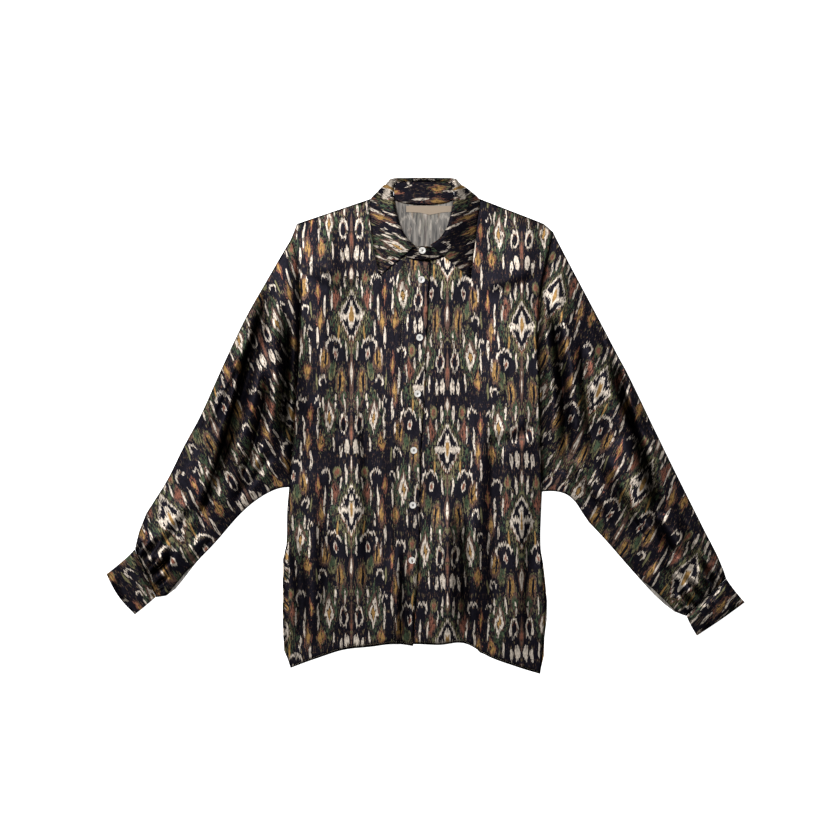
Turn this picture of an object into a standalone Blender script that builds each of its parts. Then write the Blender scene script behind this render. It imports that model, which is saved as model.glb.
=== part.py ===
"""Kimono shirt laid flat on its back, with its cut-on sleeves pulled down.

+X is to the viewer's right, +Y towards the collar and +Z up, off the surface that it lies on.
Sizes and places are millimetres. The origin is the middle of the outline, on that surface.
"Right" and "left" in names are the wearer's, so the right front is the one at -X.
"""

import math

import bmesh
import bpy
from mathutils import Vector

MM = 0.001

# Walls and gaps
CLOTH = 1.0
INTERFACED = 1.4
SEAM = 0.3

# Heights of the middle of each wall above the surface
BACK_TOP = CLOTH
FRONT_Z = BACK_TOP + SEAM + CLOTH / 2
LAPPED_Z = FRONT_Z + CLOTH + SEAM

# The fold at each armhole, where the body lies over its own sleeve
INNER_ROLL = 1.0
FOLD_SLOPE_WIDTH = 75.0
FOLD_REST = 38.0
FOLD_CLEAR = 2.5
SLEEVE_START = 0.12

# How far beside the other front's edge a front takes to come down to the back, or up off it
LAP_SLOPE = 26.0
LAP_LEAD = 1.2

# Swells of the body fade this far from its edges, and over this many rows; the front edge stays level
SWELL_FADE = 30.0
FADE_ROWS = 3
FACING_LEVEL = 10.0

# Sleeve cloth stands a little off the back between its creases
SLEEVE_LIFT = 6.5
SLEEVE_RISE = 26.0
EDGE_SHARE = 0.18
CREASE_FLOOR = 0.15
CUFF_SLOPE = 18.0

# Cuffs are flattened tubes
CUFF_HALF_HEIGHT = 1.4
CUFF_UPPER_Z = 2 * CUFF_HALF_HEIGHT + INTERFACED / 2
CUFF_GAP = 0.7
CUFF_STEPS = 8
CUFF_SHARES = (0.0, 0.35, 0.7, 1.0)

# Buttons
BUTTON_RADIUS = 5.75
BUTTON_THICKNESS = 2.2
STAND_TAB_Z = 6.7

# Rows and columns of the panels' grids
TORSO_COLUMNS = 10
NECK_ROWS = 7
ARM_ROWS = 16
SKIRT_ROWS = 12
CORNER_ROWS = 1
SLEEVE_COLUMNS = 17

# Outlines: x, y. Each edge runs from the collar down, or from the body out to the cuff.
RIGHT = {
    "shoulder": [(-74, 392), (-218.6, 342.8)],
    "neckline": [(-74, 392), (-73, 372), (-67, 342), (-57, 318), (-42, 297), (-24, 284), (-8, 279.5),
                 (9, 279)],
    "edge": [(9, 279), (4, 180), (-1, 54), (-7, -41), (-9, -135), (-10, -228), (-16, -285), (-21.4, -374)],
    "fold": [(-228.8, 317), (-218.6, 281), (-212, 230), (-213.5, 128), (-218.6, 64), (-223.7, -17),
             (-232, -104)],
    "side": [(-232, -104), (-235.6, -150), (-235.6, -203), (-239.9, -217), (-239.9, -364), (-233.9, -405),
             (-229.5, -411.5)],
    "hem": [(-229.5, -411.5), (-205, -402), (-164, -388), (-138, -379), (-93, -376.3), (-53.7, -369.2),
            (-21.4, -374)],
    "sleeve_top": [(-228.8, 317), (-245.8, 288), (-307, 179.6), (-358, 70.8), (-381.8, 16.4), (-412.4, -38),
                   (-438, -92.4), (-473.6, -146.8), (-484.5, -168), (-488.9, -199), (-494, -209.7)],
    "sleeve_under": [(-232, -104), (-247, -105), (-278, -119.6), (-312, -146.8), (-359.7, -201.2),
                     (-385, -227), (-421, -272.6), (-436, -287), (-458.3, -291.3)],
}
LEFT = {
    "shoulder": [(70.4, 393.8), (201.3, 342.8)],
    "neckline": [(70.4, 393.8), (69, 373), (63, 342), (53, 318), (38, 297), (20, 284), (2, 279.5),
                 (-22, 279)],
    "edge": [(-22, 279), (-25, 150), (-29, 54), (-35, -42), (-37, -135), (-38, -228), (-39, -285),
             (-41, -370)],
    "fold": [(216.6, 329), (206, 285), (194.5, 230), (188, 139), (192.8, 81), (194.5, -26), (198, -112)],
    "side": [(198, -112), (196, -150), (194.5, -203), (199.6, -250), (204.7, -313), (199.6, -364),
             (197.9, -412), (194.5, -421.6)],
    "hem": [(194.5, -421.6), (174, -416), (121.4, -398.4), (84, -383.8), (75.5, -369.2), (45.4, -366.1),
            (43.2, -374), (-14.6, -371), (-41, -370)],
    "sleeve_top": [(216.6, 329), (237, 288.4), (294.8, 179.6), (351, 70.8), (403.6, -38), (458, -146.8),
                   (485.2, -201), (497, -218), (499.5, -239), (510.7, -259.8)],
    "sleeve_under": [(198, -112), (222, -111), (247, -119.6), (274.4, -160.4), (300, -187.6), (347.5, -242),
                     (393.4, -292), (426.5, -318.5), (442.7, -323.1)],
}

# Armhole folds: how far each runs under the body, and the radius of its visible roll, down its length
FOLD_DEPTH = {"right": [4.5, 9, 15, 20, 24, 27, 28], "left": [4.5, 6, 9, 15, 20, 23, 24]}
FOLD_ROLL = {"right": [1.0, 1.8, 2.6, 3.0, 2.6, 2.0, 1.0], "left": [1.0, 1.2, 1.6, 2.2, 2.2, 1.8, 1.0]}

# Sleeve vents: the opening left in the underarm seam above each cuff, as shares of that edge
VENT_START = 0.70
VENT_END = 0.93
VENT_TAPER = 0.05
VENT_WIDTH = 5.5

# Side slits: where they start and end, and how far the back shows past the front
SLIT_TOP = -209.0
SLIT_FOOT = -402.0
SLIT_TAPER = 8.0
SLIT_SHOW = 2.2

# The back's own edges: its hem is this much shorter, its neck a shallow curve
HEM_SET_BACK = 2.5
HEM_JOIN = 14.0
NECK_MIDDLE_X = -2.7
BACK_NECK_Y = 377.0
BACK_NECK_RISE = 15.0
BACK_NECK_STEPS = 12

# Creases and swells: name, panel, start x y, middle x y, end x y, half width, height
FOLDS = [
    ("long sleeve crease", "right_sleeve", -256, 239, -310, 78, -380, -143, 13, -6.0),
    ("short sleeve crease", "right_sleeve", -262, 60, -276, 14, -304, -40, 11, -4.0),
    ("elbow crease", "right_sleeve", -330, -60, -352, -120, -392, -200, 11, -3.6),
    ("outer sleeve swell", "right_sleeve", -290, 180, -352, 50, -432, -120, 15, 2.4),
    ("long sleeve crease", "left_sleeve", 318, 117, 366, -36, 424, -220, 13, -5.6),
    ("inner sleeve crease", "left_sleeve", 214, 178, 232, 30, 239, -87, 11, -4.2),
    ("elbow crease", "left_sleeve", 285, 30, 312, -70, 358, -190, 12, -3.6),
    ("outer sleeve swell", "left_sleeve", 300, 130, 372, -10, 450, -170, 15, 2.2),
    ("side swell", "right_body", -196, -60, -190, -200, -186, -370, 26, 3.0),
    ("waist swell", "right_body", -120, 120, -112, -80, -118, -330, 24, 1.8),
    ("facing swell", "right_body", -58, -210, -54, -290, -52, -366, 12, 2.2),
    ("hem fold", "left_body", 56, -60, 42, -200, 34, -371, 15, 3.8),
    ("side swell", "left_body", 160, -40, 152, -200, 146, -390, 26, 3.0),
    ("waist swell", "left_body", 112, 150, 104, 0, 112, -150, 24, 1.8),
]

# How much of a crease's length it fades over, and how much of its height its start and end keep
FOLD_TAPER = 0.2
FOLD_START = 0.15
FOLD_END = 0.35

# Gathers at the cuffs
GATHERS = 5
GATHER_HEIGHT = 1.5
GATHER_REACH = 55.0

# Collar fall: seam x y z, roll x y z, over x y z, outer edge x y z, from the right point round the back
FALL_SECTIONS = [
    (-20, 302.8, 8.4, -18, 304.5, 10.0, -21.4, 301.6, 11.3, -78, 254, 3.8),
    (-27.6, 309.4, 8.4, -25.5, 311, 10.0, -29.1, 308.3, 11.4, -81.5, 268, 3.6),
    (-36.7, 319.4, 8.4, -34.5, 320.7, 10.0, -38.4, 318.4, 11.4, -86, 290, 3.6),
    (-47, 340.2, 8.4, -44.5, 341, 10.0, -48.8, 339.6, 11.4, -92, 325, 3.6),
    (-52.1, 359.7, 8.4, -49.5, 360, 10.0, -54, 359.4, 11.3, -95.5, 354, 3.6),
    (-55, 376, 7.8, -52.5, 375.6, 9.4, -57, 376.2, 10.8, -95.2, 380, 3.6),
    (-55.5, 384, 7.0, -53.6, 384, 9.2, -58.5, 385, 10.0, -91, 388.3, 3.2),
    (-55.6, 392, 5.8, -55.2, 393, 8.4, -61, 394, 8.6, -83, 396, 1.9),
    (-55, 402, 4.8, -57, 405.5, 6.8, -64, 408, 5.6, -71, 408.3, 1.4),
    (-53, 411, 4.2, -57.4, 418.6, 4.2, -61.3, 417.6, 2.2, -64.5, 409, 0.8),
    (-48, 415, 4.0, -50, 420.2, 2.7, -50.5, 415.5, 0.8, -51, 393, 0.7),
    (-38, 416, 3.9, -39, 420.2, 2.3, -40, 415.5, 0.7, -42, 388.5, 0.7),
    (-2.7, 416.5, 3.8, -2.7, 420.9, 2.3, -2.7, 416, 0.7, -2.7, 385, 0.7),
    (31.5, 416, 3.9, 33, 420.2, 2.3, 34, 415.5, 0.7, 36, 388.5, 0.7),
    (41, 415, 4.0, 43, 420.2, 2.7, 43.5, 415.5, 0.8, 44, 393, 0.7),
    (46, 411, 4.2, 50.2, 418.6, 4.2, 53.6, 417.4, 2.2, 57.5, 408, 0.8),
    (48, 402, 4.8, 50, 405.5, 6.8, 57, 408, 5.6, 65, 407, 1.4),
    (49.4, 392, 5.8, 49, 393, 8.4, 55, 394.5, 8.6, 78, 397, 1.9),
    (49.4, 384, 7.0, 47.6, 384, 9.2, 52.5, 385.2, 10.0, 87.5, 389, 3.2),
    (49.4, 376, 7.8, 46.8, 375.6, 9.4, 51.3, 376.4, 10.8, 92.7, 380, 3.6),
    (45.8, 360.2, 8.4, 43.2, 360.5, 10.0, 47.7, 360, 11.3, 88.4, 355, 3.6),
    (39.5, 336.2, 8.4, 37, 337, 10.0, 41.3, 335.6, 11.4, 85, 321, 3.6),
    (26.8, 316.3, 8.4, 24.5, 317.5, 10.0, 28.5, 315.3, 11.4, 80.5, 287, 3.6),
    (17.6, 309.5, 8.4, 15.5, 311, 10.0, 19.1, 308.3, 11.4, 78, 265, 3.6),
    (10.2, 304.3, 8.4, 8.2, 306, 10.0, 11.7, 303.1, 11.3, 76.3, 249.6, 3.8),
]

# Collar stand, creased at the two neck points: neck edge x y z, top edge x y z of each stretch
STAND_STRETCHES = {
    "collar_stand_right": [
        (9.0, 288.5, 6.7, 9.4, 300, 6.7),
        (6.5, 284, 6.7, 7.5, 303.5, 6.7),
        (-2, 281, 6.7, -1, 304.5, 6.7),
        (-12, 280.5, 6.7, -12, 304.5, 6.7),
        (-21, 281.5, 6.5, -21.5, 302, 6.9),
        (-30, 284, 6.0, -29, 308.2, 7.8),
        (-45, 294.5, 5.0, -37.6, 318.8, 8.1),
        (-60, 315.5, 3.9, -47.9, 339.9, 8.1),
        (-70, 341, 3.6, -53, 359.6, 8.1),
        (-76, 366, 3.6, -56, 377.5, 7.7),
        (-74, 381, 3.6, -58, 390.5, 5.2),
    ],
    "collar_stand_back": [
        (-54.6, 384, 2.1, -53.4, 399, 3.0),
        (-49, 381.5, 2.0, -47.3, 412, 3.8),
        (-38, 377.5, 2.0, -37.8, 415.0, 3.8),
        (-2.7, 374, 2.0, -2.7, 415.6, 3.7),
        (33, 377.5, 2.0, 31.5, 415.0, 3.8),
        (43, 381.5, 2.0, 40.6, 412, 3.8),
        (49.2, 384, 2.1, 47.2, 399, 3.0),
    ],
    "collar_stand_left": [
        (69.5, 382, 3.6, 52, 390.5, 5.2),
        (72, 366, 3.6, 50.4, 377.5, 7.7),
        (66, 341, 3.6, 46.7, 360.1, 8.1),
        (56, 315.5, 3.8, 40.5, 335.9, 8.1),
        (41, 294.5, 4.4, 27.7, 315.8, 8.0),
        (24, 284, 4.9, 17, 306, 5.6),
        (8, 281, 4.9, 7, 303, 4.9),
        (-10, 281, 4.9, -9, 303, 4.9),
        (-20, 284, 4.9, -19, 300, 4.9),
    ],
}

# Cuffs: the seam with the sleeve, the middle and the opening, each as upper x y and lower x y
CUFF_SECTIONS = {
    "cuff_right": [
        (-494, -209.7, -458.3, -291.3),
        (-506, -223.3, -473.6, -304.9),
        (-542.3, -252.2, -493.7, -320.7),
    ],
    "cuff_left": [
        (510.7, -259.8, 442.7, -323.1),
        (524, -279, 449, -338),
        (542.3, -299.8, 460.5, -356.6),
    ],
}
CUFF_OPENING_BOW = {"cuff_right": 5.0, "cuff_left": 1.0}

LABEL_OUTLINE = [(-33, 373.4), (44, 373.4), (43.5, 363.5), (26, 362), (7.5, 358.2), (-10, 362), (-33, 363)]

# Buttons: x, y. The first is on the stand.
BUTTONS = [(-5.3, 297), (-7, 248), (-10, 149.7), (-13.6, 54), (-19.9, -42), (-21.6, -135), (-23, -228.7)]

COLOURS = {
    "cloth": (0.030, 0.028, 0.036),
    "collar": (0.040, 0.036, 0.042),
    "label": (0.62, 0.52, 0.41),
    "pearl": (0.80, 0.78, 0.72),
}


def smooth(value):
    """Goes from 0 to 1 with level ends."""
    value = max(0.0, min(1.0, value))
    return value * value * (3 - 2 * value)


def curve_point(points, position):
    """The point at a position counted in spans, on a smooth curve through the points."""
    last = len(points) - 1
    span = min(int(position), last - 1)
    t = position - span
    here, there = points[span], points[span + 1]
    before = points[span - 1] if span > 0 else here * 2 - there
    after = points[span + 2] if span + 2 <= last else there * 2 - here
    length = (there - here).length or 1.0
    leave = (there - before) * (length / ((there - here).length + (here - before).length or 1.0))
    arrive = (after - here) * (length / ((after - there).length + (there - here).length or 1.0))
    square, cube = t * t, t * t * t
    return (
        here * (2 * cube - 3 * square + 1)
        + leave * (cube - 2 * square + t)
        + there * (3 * square - 2 * cube)
        + arrive * (cube - square)
    )


def along(rows, shares):
    """Points at the given shares of the length of a smooth curve through the rows."""
    points = [Vector(row) for row in rows]
    steps = 12 * (len(points) - 1)
    fine = [curve_point(points, step / 12) for step in range(steps + 1)]
    lengths = [0.0]
    for first, second in zip(fine, fine[1:]):
        lengths.append(lengths[-1] + (second - first).length)
    found = []
    place = 0
    for share in shares:
        target = share * lengths[-1]
        while place < steps - 1 and lengths[place + 1] < target:
            place += 1
        part = (target - lengths[place]) / (lengths[place + 1] - lengths[place])
        found.append(fine[place].lerp(fine[place + 1], part))
    return found


def evenly(count):
    return [step / count for step in range(count + 1)]


def value_along(values, share):
    """A value read in straight runs between evenly spaced ones."""
    position = share * (len(values) - 1)
    span = min(int(position), len(values) - 2)
    return values[span] + (values[span + 1] - values[span]) * (position - span)


def height_on(rows, x):
    """The y of an edge at x, where the edge's rows run along X."""
    ordered = sorted(rows)
    for (x1, y1), (x2, y2) in zip(ordered, ordered[1:]):
        if x <= x2:
            return y1 + (y2 - y1) * max(0.0, (x - x1) / (x2 - x1))
    return ordered[-1][1]


def width_on(rows, y):
    """The x of an edge at y, where the edge's rows run down from the collar."""
    for (x1, y1), (x2, y2) in zip(rows, rows[1:]):
        if y >= y2:
            return x1 + (x2 - x1) * max(0.0, (y1 - y) / (y1 - y2))
    return rows[-1][0]


def distance_to_line(point, start, end):
    """Distance of a point from a straight stretch, and the share of the stretch nearest to it."""
    run = end - start
    share = max(0.0, min(1.0, (point - start).dot(run) / run.length_squared))
    return (point - start - run * share).length, share


def folded(point, panel):
    """How much the panel's creases and swells raise it at a point."""
    total = 0.0
    for _, owner, x1, y1, x2, y2, x3, y3, width, height in FOLDS:
        if owner != panel:
            continue
        start, middle, end = Vector((x1, y1)), Vector((x2, y2)), Vector((x3, y3))
        first, first_share = distance_to_line(point, start, middle)
        second, second_share = distance_to_line(point, middle, end)
        distance = min(first, second)
        share = first_share / 2 if first < second else 0.5 + second_share / 2
        fade = smooth(share / FOLD_TAPER + FOLD_START) * smooth((1 - share) / FOLD_TAPER + FOLD_END)
        total += height * fade * math.exp(-((distance / width) ** 2))
    return total


def material(name, colour, roughness, metallic=0.0):
    made = bpy.data.materials.new(name)
    made.use_nodes = True
    shader = made.node_tree.nodes["Principled BSDF"]
    shader.inputs["Base Color"].default_value = (*colour, 1)
    shader.inputs["Roughness"].default_value = roughness
    shader.inputs["Metallic"].default_value = metallic
    return made


def add_object(name, points, faces, look):
    mesh = bpy.data.meshes.new(name)
    mesh.from_pydata([point * MM for point in points], [], faces)
    mesh.shade_smooth()
    mesh.set_sharp_from_angle(angle=math.radians(50))
    mesh.materials.append(look)
    made = bpy.data.objects.new(name, mesh)
    bpy.context.collection.objects.link(made)
    return made


def split_quad(points, quad):
    """Two triangles across a quad's shorter diagonal."""
    a, b, c, d = quad
    if (points[a] - points[c]).length <= (points[b] - points[d]).length:
        return [[a, b, c], [a, c, d]]
    return [[a, b, d], [b, c, d]]


def shell(name, points, quads, wall, look):
    """A closed wall round a sheet of quads, half of its thickness on each side of the sheet."""
    normals = [Vector((0, 0, 0)) for _ in points]
    for quad in quads:
        a, b, c, d = (points[corner] for corner in quad)
        facing = (c - a).cross(d - b)
        for corner in quad:
            normals[corner] += facing
    count = len(points)
    outer = [point + normal.normalized() * (wall / 2) for point, normal in zip(points, normals)]
    inner = [point - normal.normalized() * (wall / 2) for point, normal in zip(points, normals)]
    faces = []
    for quad in quads:
        for triangle in split_quad(points, quad):
            faces.append(triangle)
            faces.append([corner + count for corner in reversed(triangle)])
    uses = set()
    for quad in quads:
        uses.update(zip(quad, quad[1:] + quad[:1]))
    for start, end in sorted(uses):
        if (end, start) not in uses:
            faces.append([end, start, start + count, end + count])
    return add_object(name, outer + inner, faces, look)


def grid_quads(index, rows, columns, turned):
    """Quads between the points that index(row, column) numbers, all facing up."""
    quads = []
    for row in range(rows):
        for column in range(columns):
            quad = [
                index(row, column),
                index(row + 1, column),
                index(row + 1, column + 1),
                index(row, column + 1),
            ]
            quads.append(quad[::-1] if turned else quad)
    return quads


def front_outline(edges):
    """The inner and side edges of a front, row by row, from the shoulder to the hem."""
    below = evenly(ARM_ROWS + CORNER_ROWS + SKIRT_ROWS - NECK_ROWS)[1:]
    inner = along(edges["neckline"], evenly(NECK_ROWS)) + along(edges["edge"], below)
    corner = [Vector(edges["shoulder"][1])]
    arm = along(edges["fold"], evenly(ARM_ROWS))
    skirt = along(edges["side"], evenly(SKIRT_ROWS)[1:])
    return inner, corner + arm + skirt


def fold_shape(side, row):
    """Depth, roll radius and top height of the armhole fold at a row of the arm."""
    share = row / ARM_ROWS
    depth = value_along(FOLD_DEPTH[side], share)
    roll = value_along(FOLD_ROLL[side], share)
    return depth, roll, FRONT_Z + 2 * INNER_ROLL + 2 * roll


def body_height(point, side, row, inner, outer):
    """Height of the middle of a front's wall on the body."""
    panel = side + "_body"
    from_side = (point - outer).length
    from_edge = (point - inner).length
    arm_row = row - CORNER_ROWS
    if arm_row < 0:
        top = FRONT_Z
    elif arm_row <= ARM_ROWS:
        top = fold_shape(side, arm_row)[2]
    else:
        fall_away = smooth((arm_row - ARM_ROWS) / FADE_ROWS)
        top = fold_shape(side, ARM_ROWS)[2] * (1 - fall_away) + FRONT_Z * fall_away
    lean = 1 - smooth((from_side - FOLD_REST) / FOLD_SLOPE_WIDTH)
    height = FRONT_Z + (top - FRONT_Z) * lean
    below_collar = smooth((row - NECK_ROWS) / FADE_ROWS)
    level = FACING_LEVEL if side == "right" else 0.0
    edge_fade = smooth((from_edge - level) / SWELL_FADE) * smooth(from_side / SWELL_FADE)
    height += max(0.0, folded(point, panel)) * edge_fade * below_collar
    if side == "right":
        lapped = smooth((point.x - width_on(LEFT["edge"], point.y)) / LAP_SLOPE + LAP_LEAD)
        height = max(height, FRONT_Z + (LAPPED_Z - FRONT_Z) * lapped)
    else:
        clear = smooth((point.x - width_on(RIGHT["edge"], point.y)) / LAP_SLOPE)
        height = FRONT_Z + (height - FRONT_Z) * clear
    return height


def vent_share(out):
    """How far open the sleeve vent is at a share of the underarm edge."""
    return smooth((out - VENT_START) / VENT_TAPER) * smooth((VENT_END - out) / VENT_TAPER)


def fold_strip(fold, side, sign, arm_row):
    """A row of the armhole fold: round the visible roll, in under the body and back out below."""
    depth, roll, _ = fold_shape(side, arm_row)
    roll_z = FRONT_Z + 2 * INNER_ROLL + roll
    strip = []
    for angle in (40, 0, -45, -90):
        turn = math.radians(angle)
        x = fold.x - sign * roll * (1 - math.cos(turn))
        strip.append(Vector((x, fold.y, roll_z + roll * math.sin(turn))))
    inside = fold.x - sign * (depth - INNER_ROLL)
    for angle in (90, 150, 210, 270):
        turn = math.radians(angle)
        x = inside + sign * INNER_ROLL * math.cos(turn)
        strip.append(Vector((x, fold.y, FRONT_Z + INNER_ROLL + INNER_ROLL * math.sin(turn))))
    return strip


def sleeve_height(point, side, across, from_fold, to_cuff):
    """Height of the middle of a front's wall on the sleeve."""
    edge = smooth(across / EDGE_SHARE) * smooth((1 - across) / EDGE_SHARE)
    rise = smooth((from_fold - 2 * FOLD_CLEAR) / SLEEVE_RISE)
    lift = (SLEEVE_LIFT + folded(point, side + "_sleeve")) * rise * edge
    wave = math.cos(across * math.pi * 2 * GATHERS)
    near_cuff = 1 - smooth(to_cuff / GATHER_REACH)
    gather = GATHER_HEIGHT * wave * edge * near_cuff
    height = FRONT_Z + max(CREASE_FLOOR, lift + gather)
    meet = 1 - smooth(to_cuff / CUFF_SLOPE)
    return height * (1 - meet) + (FRONT_Z + (CUFF_UPPER_Z - FRONT_Z) * edge) * meet


def build_front(name, side, edges, look):
    """A front with its sleeve: the body, the fold under it at the armhole, and the sleeve beyond."""
    sign = -1 if side == "right" else 1
    inner, outer = front_outline(edges)
    rows = len(inner) - 1
    points = []
    for row in range(rows + 1):
        skirt_share = max(0.0, (row - NECK_ROWS) / (rows - NECK_ROWS))
        arm_row = row - CORNER_ROWS
        in_fold = 0 <= arm_row <= ARM_ROWS
        for column in range(TORSO_COLUMNS + 1):
            share = column / TORSO_COLUMNS
            place = inner[row].lerp(outer[row], share)
            hem_x = inner[rows].x + (outer[rows].x - inner[rows].x) * share
            straight = inner[rows].y + (outer[rows].y - inner[rows].y) * share
            place.y += (height_on(edges["hem"], hem_x) - straight) * skirt_share ** 2
            height = body_height(place, side, row, inner[row], outer[row])
            if column == TORSO_COLUMNS and in_fold:
                place.x -= sign * fold_shape(side, arm_row)[1]
            points.append(Vector((place.x, place.y, height)))

    def body(row, column):
        return row * (TORSO_COLUMNS + 1) + column

    quads = grid_quads(body, rows, TORSO_COLUMNS, side == "left")

    sleeve_start = len(points)
    out_shares = evenly(SLEEVE_COLUMNS)
    top = along(edges["sleeve_top"], out_shares)
    under = along(edges["sleeve_under"], out_shares)
    for arm_row, across in enumerate(evenly(ARM_ROWS)):
        fold = outer[arm_row + CORNER_ROWS]
        strip = fold_strip(fold, side, sign, arm_row)
        cuff_point = top[-1].lerp(under[-1], across)
        for column, out in enumerate(out_shares):
            straight = top[0].lerp(under[0], across).lerp(cuff_point, out)
            place = top[column].lerp(under[column], across) + fold.lerp(cuff_point, out) - straight
            if column == 0 and across == 0.0:
                place = top[0].lerp(top[1], SLEEVE_START)
            elif column == 0 and across == 1.0:
                place = under[0].lerp(under[1], SLEEVE_START)
            elif column == 0:
                place = Vector((fold.x + sign * FOLD_CLEAR, fold.y))
            if across == 1.0:
                place += (top[-1] - under[-1]).normalized() * VENT_WIDTH * vent_share(out)
            from_fold = (place - fold).length
            to_cuff = (cuff_point - place).length
            height = sleeve_height(place, side, across, from_fold, to_cuff) if column else FRONT_Z
            strip.append(Vector((place.x, place.y, height)))
        points += strip
    width = len(strip)

    def sleeve(row, column):
        if column == 0:
            return body(row + CORNER_ROWS, TORSO_COLUMNS)
        return sleeve_start + row * width + column - 1

    quads += grid_quads(sleeve, ARM_ROWS, width, side == "left")
    return shell(name, points, quads, CLOTH, look)


def build_back(look):
    """The back with both sleeve backs, one flat wall under everything else."""
    outline = []
    for side, edges in (("right", RIGHT), ("left", LEFT)):
        sign = -1 if side == "right" else 1
        hem = along(edges["hem"], evenly(12))
        low = along(edges["side"], evenly(10))[:-1]
        under = along(edges["sleeve_under"], evenly(16))
        top = along(edges["sleeve_top"], evenly(18))
        for point in low:
            slit = smooth((SLIT_TOP - point.y) / SLIT_TAPER) * smooth((point.y - SLIT_FOOT) / SLIT_TAPER)
            point.x += sign * SLIT_SHOW * slit
        for point in hem:
            point.y += HEM_SET_BACK
        half = hem[::-1] + low[::-1] + under[1:] + top[::-1] + [Vector(edges["shoulder"][1])]
        half.append(Vector(edges["shoulder"][0]))
        outline.append([point for point in half if point.x * sign >= HEM_JOIN])
    right, left = outline
    neck = []
    for step in range(1, BACK_NECK_STEPS):
        x = right[-1].x + (left[-1].x - right[-1].x) * step / BACK_NECK_STEPS
        share = (x - NECK_MIDDLE_X) / (right[-1].x - NECK_MIDDLE_X)
        neck.append(Vector((x, BACK_NECK_Y + BACK_NECK_RISE * share * share)))
    loop = right + neck + left[::-1]
    points = [Vector((point.x, point.y, height)) for height in (BACK_TOP, 0.0) for point in loop]
    count = len(loop)
    faces = [list(range(count))[::-1], list(range(count, 2 * count))]
    faces += [[i, (i + 1) % count, (i + 1) % count + count, i + count] for i in range(count)]
    made = add_object("back", points, faces, look)
    work = bmesh.new()
    work.from_mesh(made.data)
    bmesh.ops.recalc_face_normals(work, faces=work.faces)
    work.to_mesh(made.data)
    work.free()
    return made


def ribbon(name, sections, fineness, across, wall, look):
    """A band through sections, each a row of x y z triples from its lower edge to its upper one."""
    rows = [[Vector(row[i:i + 3]) for i in range(0, len(row), 3)] for row in sections]
    lines = [[row[i] for row in rows] for i in range(len(rows[0]))]
    points = []
    steps = fineness * (len(rows) - 1)
    for step in range(steps + 1):
        section = [curve_point(line, step / fineness) for line in lines]
        for place in across:
            point = curve_point(section, place)
            point.z = max(point.z, wall / 2)
            points.append(point)
    width = len(across)

    def index(row, column):
        return row * width + column

    quads = grid_quads(index, steps, width - 1, False)
    return shell(name, points, quads, wall, look)


def cuff_ring(start, end, bow, outward):
    """Points round a flattened tube, with how far each is moved outward, to bow its opening."""
    run = (end - start).normalized()
    half = CUFF_HALF_HEIGHT
    flat = [start.lerp(end, step / CUFF_STEPS) for step in range(CUFF_STEPS + 1)]
    ring = [(place, half) for place in flat]
    for angle in (45, 0, -45):
        turn = math.radians(angle)
        ring.append((end + run * half * math.cos(turn), half * math.sin(turn)))
    ring += [(place, -half) for place in reversed(flat)]
    for angle in (-45, 0, 45):
        turn = math.radians(angle)
        ring.append((start - run * half * math.cos(turn), half * math.sin(turn)))
    points = []
    for place, height in ring:
        reach = (place - start).dot(run) / (end - start).length
        curve = math.sin(math.pi * max(0.0, min(1.0, reach))) * bow
        spot = place + outward * curve
        points.append(Vector((spot.x, spot.y, half + INTERFACED / 2 + height)))
    return points


def build_cuff(name, look):
    """A flattened tube, open where the sleeve goes in and where the hand comes out."""
    sections = CUFF_SECTIONS[name]
    turned = name == "cuff_left"
    points = []
    for share in CUFF_SHARES:
        span = min(int(share * 2), 1)
        part = share * 2 - span
        upper = Vector(sections[span][:2]).lerp(Vector(sections[span + 1][:2]), part)
        lower = Vector(sections[span][2:]).lerp(Vector(sections[span + 1][2:]), part)
        run = (lower - upper).normalized()
        outward = Vector((-run.y, run.x)) if turned else Vector((run.y, -run.x))
        inset = run * (CUFF_HALF_HEIGHT + INTERFACED / 2)
        gap = outward * CUFF_GAP if share == 0 else Vector((0, 0))
        bow = CUFF_OPENING_BOW[name] * share
        points += cuff_ring(upper + inset + gap, lower - inset + gap, bow, outward)
    ring_count = len(points) // len(CUFF_SHARES)

    def index(row, column):
        return row * ring_count + column % ring_count

    quads = grid_quads(index, len(CUFF_SHARES) - 1, ring_count, turned)
    return shell(name, points, quads, INTERFACED, look)


def build_label(look):
    low, high = BACK_TOP + SEAM, BACK_TOP + SEAM + CLOTH
    points = [Vector((x, y, height)) for height in (high, low) for x, y in LABEL_OUTLINE]
    count = len(LABEL_OUTLINE)
    faces = [list(range(count))[::-1], list(range(count, 2 * count))]
    faces += [[i, (i + 1) % count, (i + 1) % count + count, i + count] for i in range(count)]
    return add_object("neck_label", points, faces, look)


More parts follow.
